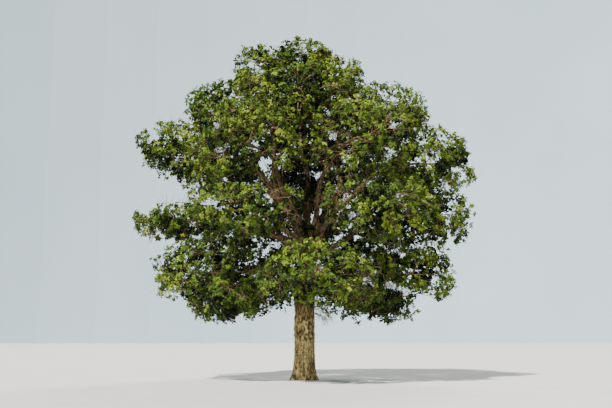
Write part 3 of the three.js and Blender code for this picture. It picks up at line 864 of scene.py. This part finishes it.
def before_limbs(points):
    """Picks most of the points that hide one of the limbs that show from the front."""
    middles, radii = limb_marks(SHOWN_LIMBS, np.linspace(*SHOWN_SPAN, LIMB_MARKS))
    seen, limbs_seen = seen_from_front(points), seen_from_front(middles)
    hides = np.zeros(len(points), bool)
    for some in batches(len(points)):
        away = np.linalg.norm(seen[some, None] - limbs_seen, axis=-1)
        before = points[some, 1, None] < middles[:, 1]
        hides[some] = (before & (away < radii + SHOWN_MARGIN)).any(1)
    return hides & (rng.uniform(size=len(points)) < SHOWN_SHARE)


def grow_branchlets(twigs, centre, outward, inner):
    """Branchlets all round the middle of each tuft, as lines, and the number of the tuft of each."""
    count = len(centre) * BRANCHLETS
    owner = np.repeat(np.arange(len(centre)), BRANCHLETS)
    around = np.tile(even_offsets(BRANCHLETS, 1, np.eye(3), np.ones(3)), (len(centre), 1))
    around = unit(around + rng.normal(0, BRANCHLET_SPREAD, (count, 3)))
    tuft_size = TUFT_RADIUS * rng.uniform(*TUFT_SIZES, len(centre))
    reach = tuft_size[owner] * rng.uniform(*BRANCHLET_LENGTHS, count)
    end = centre[owner] + around * reach[:, None]
    grown = ((around * outward[owner]).sum(-1) > TUFT_UNDERSIDE) | inner[owner]
    grown &= ~outside_crown(end)
    owner, end = owner[grown], end[grown]
    start, _ = point_on(twigs, owner, rng.uniform(*BRANCHLET_ROOTS, len(owner)))
    return np.stack([start, end], 1), owner


def grow_rosettes(branchlets, owner, centre, outward, inner, holds):
    """Rosettes along the branchlets: the root and tip of each one's twiglet, how far back its leaves go, the
    way it faces, its light and the size of its leaves. Inner tufts are shaded and have larger leaves."""
    line = np.tile(np.arange(len(owner)), len(ROSETTES))
    share = np.repeat(ROSETTES, len(owner))
    tuft = owner[line]
    root, heading = point_on(branchlets, line, share)
    spread = rng.normal(size=root.shape) + TWIGLET_OUTWARD * outward[tuft]
    across = unit(spread - (spread * heading).sum(-1, keepdims=True) * heading)
    lead = unit(across + TWIGLET_FORWARD * heading)
    stalked = (share < 1)[:, None]
    stalk = TWIGLET_LENGTH * rng.uniform(*TWIGLET_LENGTHS, (len(root), 1)) * lead
    tip = root + stalked * stalk
    back = np.where(stalked, LEAFY_SHARE * stalk, LEAFY_SHARE * TWIGLET_LENGTH * heading)
    axis = unit(FROM_TUFT * unit(tip - centre[tuft]) + AS_TUFT * outward[tuft] + TO_SKY * UP
                + ASTRAY * rng.normal(size=tip.shape))
    sunny = SUNNY_UP * UP + SUNNY_OUT * outward[tuft]
    raised = ((tip - centre[tuft]) * sunny).sum(-1) / TUFT_RADIUS
    light = RAISED_LIGHT * raised + TUFT_LIGHT * rng.normal(size=len(centre))[tuft]
    light += BRANCHLET_LIGHT * rng.normal(size=len(owner))[line] - INNER_SHADE * inner[tuft]
    kept = holds(tip + 0.5 * LEAF_LENGTH * axis) & (rng.uniform(size=len(tip)) < leafiness(tip))
    kept &= ~(near_limbs(tip) | before_limbs(tip) | in_sky(tip) | outside_crown(tip))
    size = np.where(inner, INNER_LEAF, 1)[tuft]
    return [array[kept] for array in (root, tip, back, axis, light, size)]


def grow_tufts(root, heading, centre, outward, inner, holds):
    """The wood and the rosettes of some tufts: twigs out to their middles, with branchlets round each."""
    set_out = unit(heading + unit(centre - root) + TUFT_TWIG_SPREAD * rng.normal(size=centre.shape))
    twigs = curved(root, centre, set_out, TUFT_TWIG_BEND, TUFT_TWIG_STEPS)
    branchlets, owner = grow_branchlets(twigs, centre, outward, inner)
    wood = [
        tapering(twigs, TUFT_TWIG_RADIUS, BRANCHLET_RADIUS, THIN_SIDES),
        tapering(branchlets, BRANCHLET_RADIUS, TWIGLET_RADIUS, THIN_SIDES),
    ]
    return wood, grow_rosettes(branchlets, owner, centre, outward, inner, holds)


def place_tufts(mass):
    """The middles of a mass's tufts, their offsets from the mass's middle, and whether each is an inner one.
    A tuft that would stand out of the mass is drawn in."""
    fullness = TIP_FULLNESS if mass.tier == "tip" else 1
    tufts = round(TUFTS_PER_SQUARE * ellipsoid_surface(mass.half) * fullness)
    inner = np.arange(tufts) % INNER_EVERY == INNER_EVERY - 1
    offsets = even_offsets(tufts, mass.hand, mass.axes, mass.half)
    inner_reach = rng.uniform(*INNER_REACH, tufts)
    outer_reach = TUFT_REACH * rng.uniform(*REACH_SPREAD, tufts)
    offsets *= np.where(inner, inner_reach, outer_reach)[:, None]
    offsets += rng.normal(0, TUFT_SPREAD, (tufts, 3))
    centre = mass.centre + offsets
    for shorter in LENGTH_TRIES:
        outside = ~mass.holds(centre + TUFT_SINK * TUFT_RADIUS * unit(offsets))
        centre[outside] = mass.centre + shorter * offsets[outside]
    kept = mass.holds(centre) & ~outside_crown(centre + 0.5 * TUFT_RADIUS * unit(offsets))
    return centre[kept], offsets[kept], inner[kept]


def grow_mass(mass):
    """The wood of a mass and its rosettes."""
    stem_end = mass.centre + STEM_REACH * mass.half[0] * mass.axes[0]
    leaving = unit(stem_end - mass.entry)
    astray = leaving[None] + STEM_SPREAD * rng.normal(size=3)
    stem = curved(mass.entry[None], stem_end[None], astray, STEM_BEND, STEM_STEPS)

    offsets = even_offsets(MAIN_TWIGS, mass.hand, mass.axes, mass.half)
    offsets = offsets[np.argsort(offsets @ leaving)]
    share = np.linspace(FIRST_TWIG, LAST_TWIG, MAIN_TWIGS)
    main_root, main_heading = point_on(stem, np.zeros(MAIN_TWIGS, int), share)
    end = mass.centre + MAIN_REACH * offsets
    set_out = unit(main_heading + unit(end - main_root))
    mains = curved(main_root, end, set_out, MAIN_BEND, MAIN_STEPS)

    centre, offsets, inner = place_tufts(mass)
    spots = np.array([point_on(mains, np.arange(MAIN_TWIGS), np.full(MAIN_TWIGS, s))[0] for s in TUFT_ROOTS])
    away = np.linalg.norm(centre[:, None, None] - spots, axis=-1).reshape(len(centre), -1)
    nearest = away.argmin(1)
    root, heading = point_on(mains, nearest % MAIN_TWIGS, TUFT_ROOTS[nearest // MAIN_TWIGS])
    from_crown = unit((centre - CROWN_MIDDLE) / CROWN_HALF)
    outward = unit(FROM_MASS * unit(offsets) + FROM_CROWN * from_crown + UPWARD * UP)
    tuft_wood, rosettes = grow_tufts(root, heading, centre, outward, inner, mass.holds)
    wood = [
        tapering(stem, BOUGH_TIP, MAIN_RADIUS, STEM_SIDES),
        tapering(mains, MAIN_RADIUS, TUFT_TWIG_RADIUS, MAIN_SIDES),
        *tuft_wood,
    ]
    return wood, rosettes


def above_ground(points):
    """The space that holds the trunk's own tufts."""
    return points[:, 2] > 0


def grow_trunk_tufts(count, levels, away, shaded):
    """Tufts on twigs of their own, round the trunk or its leader."""
    level = np.linspace(*levels, count)
    turn = GOLDEN_ANGLE * np.arange(count)
    out = np.stack([np.cos(turn), np.sin(turn), np.full(count, TRUNK_TUFT_RISE)], -1)
    root = trunk_centre(level)
    centre = root + rng.uniform(*away, (count, 1)) * out
    return grow_tufts(root, unit(out), centre, unit(out), np.full(count, shaded), above_ground)


def leaf_mesh(tip, back, axis, size):
    """A domed rosette of leaves for each tip, spread back along the end of its twig."""
    count = len(tip) * LEAVES_EACH
    owner = np.repeat(np.arange(len(tip)), LEAVES_EACH)
    number = np.tile(np.arange(LEAVES_EACH), len(tip))
    turn = GOLDEN_ANGLE * number + 2 * np.pi * rng.uniform(size=len(tip))[owner]
    pitch = rng.uniform(*LEAF_PITCH, count)[:, None]
    hint = unit(np.cross(axis, ASKEW))[owner]
    other = np.cross(axis[owner], hint)
    spread = np.cos(turn)[:, None] * hint + np.sin(turn)[:, None] * other
    heading = unit(np.cos(pitch) * spread - np.sin(pitch) * axis[owner])
    face = np.cos(pitch) * axis[owner] + np.sin(pitch) * spread + LEAF_TILT * rng.normal(size=(count, 3))
    normal = unit(face - (face * heading).sum(-1, keepdims=True) * heading)
    across = np.cross(normal, heading)
    length = (LEAF_LENGTH * size[owner] * rng.uniform(*LEAF_LENGTHS, count))[:, None, None]
    x, y = LEAF_OUTLINE[:, 0], LEAF_WIDTH * LEAF_OUTLINE[:, 1]
    z = LEAF_FOLD * np.abs(y) - LEAF_DROOP * x ** 2
    shape = x[:, None] * heading[:, None] + y[:, None] * across[:, None] + z[:, None] * normal[:, None]
    base = tip[owner] - rng.uniform(size=(count, 1)) * back[owner]
    vertices = base[:, None] + length * shape
    faces = LEAF_FACES + len(LEAF_OUTLINE) * np.arange(count)[:, None, None]
    return vertices.reshape(-1, 3), faces.reshape(-1, 3)


def grow_crown():
    """The twigs, the twiglets, and the rosettes with the number of the green of each."""
    leader_wood, leader_rosettes = grow_trunk_tufts(LEADER_TUFTS, LEADER_LEVELS, LEADER_AWAY, True)
    crotch_wood, crotch_rosettes = grow_trunk_tufts(CROTCH_TUFTS, CROTCH_LEVELS, CROTCH_AWAY, False)
    wood = leader_wood + crotch_wood
    rosettes = [leader_rosettes, crotch_rosettes]
    for mass in MASSES:
        mass_wood, mass_rosettes = grow_mass(mass)
        wood += mass_wood
        rosettes.append(mass_rosettes)
    root, tip, back, axis, light, size = (np.concatenate(arrays) for arrays in zip(*rosettes))
    stalked = (tip != root).any(1)
    twiglets = tapering(np.stack([root, tip], 1)[stalked], TWIGLET_RADIUS, 0.5 * TWIGLET_RADIUS, THIN_SIDES)
    outer = ramped(how_far_out(tip), *SHADY_WITHIN)
    light = LEAST_LIGHT + OUTER_LIGHT * outer + light + ROSETTE_LIGHT * rng.normal(size=len(tip))
    green = np.clip(np.round(light), 0, len(GREENS) - 1)
    return join(wood), twiglets, (tip, back, axis, size), green


def grow_shoots():
    """Bare shoots that leave the trunk and hang, each forking twice."""
    level = SHOOTS_LEVEL + SHOOTS_LEVEL_SPREAD * rng.uniform(-1, 1, SHOOTS)
    azimuth = SHOOTS_AZIMUTH + SHOOTS_AZIMUTH_SPREAD * rng.uniform(-1, 1, SHOOTS)
    out = np.array([direction(turn) for turn in azimuth])
    root = trunk_centre(level) + SHOOTS_SINK * trunk_radius(level)[:, None] * out
    reach = SHOOTS_REACH * rng.uniform(*SHOOTS_REACHES, (SHOOTS, 1))
    end = root + reach * out - SHOOTS_DROP * rng.uniform(*SHOOTS_DROPS, (SHOOTS, 1)) * UP
    lines = curved(root, end, unit(out + SHOOTS_LIFT * UP), SHOOTS_BEND, SHOOTS_STEPS)
    wood = [tapering(lines, *SHOOT_RADII, SHOOTS_SIDES)]
    for radius in OFFSHOOT_RADII:
        count = OFFSHOOTS_EACH * len(lines)
        base, heading = point_on(lines, np.arange(count) % len(lines), rng.uniform(*OFFSHOOT_SPOTS, count))
        aside = unit(heading + OFFSHOOT_SPREAD * rng.normal(size=(count, 3)))
        length = OFFSHOOT_LENGTH * rng.uniform(*OFFSHOOT_LENGTHS, (count, 1))
        tip = base + length * unit(aside - SHOOTS_LIFT * UP)
        lines = curved(base, tip, unit(aside + SHOOTS_LIFT * UP), OFFSHOOT_BEND, OFFSHOOT_STEPS)
        wood.append(tapering(lines, radius, OFFSHOOT_TIP, THIN_SIDES))
    return join(wood)


# The pieces

BOUGH_NODES = [f"bough_{name}" for name in LIMBS]
MASS_NODES = [f"mass_{mass.name}" for mass in MASSES]


def dress_limbs():
    trunk_bark = bark_material("trunk_bark", TRUNK_PALE, TRUNK_DARK, LENGTHWISE, True)
    bough_bark = bark_material("bough_bark", BOUGH_PALE, BOUGH_DARK, EVEN, True)
    vertices, faces, plates = trunk_mesh()
    make_piece("trunk_bark", vertices, faces, trunk_bark, "bark", ["trunk"], plates)
    vertices, faces, plates = bough_mesh()
    make_piece("bough_bark", vertices, faces, bough_bark, "bark", BOUGH_NODES, plates)


def dress_crown():
    twig_bark = bark_material("twig_bark", TWIG_PALE, TWIG_DARK, EVEN, False)
    make_piece("shoots", *grow_shoots(), twig_bark, "bark", ["trunk"])
    twigs, twiglets, rosettes, green = grow_crown()
    make_piece("twigs", *twigs, twig_bark, "bark", MASS_NODES)
    make_piece("twiglets", *twiglets, twig_bark, "bark", MASS_NODES)
    for number, (name, colour) in enumerate(GREENS.items()):
        vertices, faces = leaf_mesh(*(array[green == number] for array in rosettes))
        make_piece(name, vertices, faces, leaf_material(name, colour), "leaves", MASS_NODES)


# Floor, light and camera

FLOOR_SIZE = 1600
FLOOR_DROP = 0.002  # below the trunk's cut, which would flicker with it
FLOOR_NOISE = (0.4, 3)
FLOOR_GREY, FLOOR_PALE = (0.66, 0.66, 0.64), (0.7, 0.7, 0.68)
BACKDROP_RADIUS = 600
BACKDROP_HEIGHT = 340
BACKDROP_SINK = 1
BACKDROP_SIDES = 96
BACKDROP_NOISE = (0.01, 2)
BACKDROP_BLUE, BACKDROP_PALE = (0.4, 0.5, 0.58), (0.44, 0.54, 0.62)
STAGE_ROUGHNESS, STAGE_SPECULAR = 0.9, 0.1
STAGE_STOPS = 0.3, 0.7

# The suns, with their angles in degrees
SUNS = {
    "key_light": dict(energy=9, softness=2, colour=(1.0, 0.96, 0.88), tilt=44, turn=-30),
    "back_light": dict(energy=2.2, softness=20, colour=(1.0, 0.98, 0.95), tilt=50, turn=165),
}
SKY_COLOUR = (0.93, 0.96, 1.0, 1)
SKY_STRENGTH = 0.16

LENS = 49.24  # millimetres, as is the sensor
SENSOR = 36
CAMERA_ASIDE = 0.075
CAMERA_TILT = 9.28  # degrees above level
CLIP_END = 1000


def stage_piece(stage, name, noise, colours):
    """Gives a floor or backdrop its name and its colours."""
    stage.name = name
    stops = list(zip(STAGE_STOPS, colours))
    stage.data.materials.append(mottled_material(name, STAGE_ROUGHNESS, STAGE_SPECULAR, noise, stops))


def add_floor():
    bpy.ops.mesh.primitive_plane_add(size=FLOOR_SIZE, location=(0, 0, -FLOOR_DROP))
    stage_piece(bpy.context.object, "floor", FLOOR_NOISE, (FLOOR_GREY, FLOOR_PALE))


def add_backdrop():
    """A pale wall all round, far out and lower than the sun."""
    bpy.ops.mesh.primitive_cylinder_add(
        vertices=BACKDROP_SIDES, radius=BACKDROP_RADIUS, depth=BACKDROP_HEIGHT, end_fill_type="NOTHING",
        location=(0, 0, 0.5 * BACKDROP_HEIGHT - BACKDROP_SINK))
    stage_piece(bpy.context.object, "backdrop", BACKDROP_NOISE, (BACKDROP_BLUE, BACKDROP_PALE))


def add_sun(name, energy, softness, colour, tilt, turn):
    sun = bpy.data.objects.new(name, bpy.data.lights.new(name, "SUN"))
    sun.data.energy = energy
    sun.data.angle = math.radians(softness)
    sun.data.color = colour
    sun.rotation_euler = (math.radians(tilt), 0, math.radians(turn))
    bpy.context.scene.collection.objects.link(sun)


def add_sky():
    world = bpy.data.worlds.new("studio")
    bpy.context.scene.world = world
    world.use_nodes = True
    sky = world.node_tree.nodes["Background"]
    sky.inputs["Color"].default_value = SKY_COLOUR
    sky.inputs["Strength"].default_value = SKY_STRENGTH


def add_camera():
    camera = bpy.data.objects.new("camera", bpy.data.cameras.new("camera"))
    camera.data.sensor_width = SENSOR
    camera.data.lens = LENS
    camera.data.clip_end = CLIP_END
    camera.location = (CAMERA_ASIDE, -EYE_DISTANCE, EYE_LEVEL)
    camera.rotation_euler = (math.radians(90 + CAMERA_TILT), 0, 0)
    bpy.context.scene.collection.objects.link(camera)
    bpy.context.scene.camera = camera


dress_limbs()
dress_crown()
add_floor()
add_backdrop()
for name, light in SUNS.items():
    add_sun(name, **light)
add_sky()
add_camera()
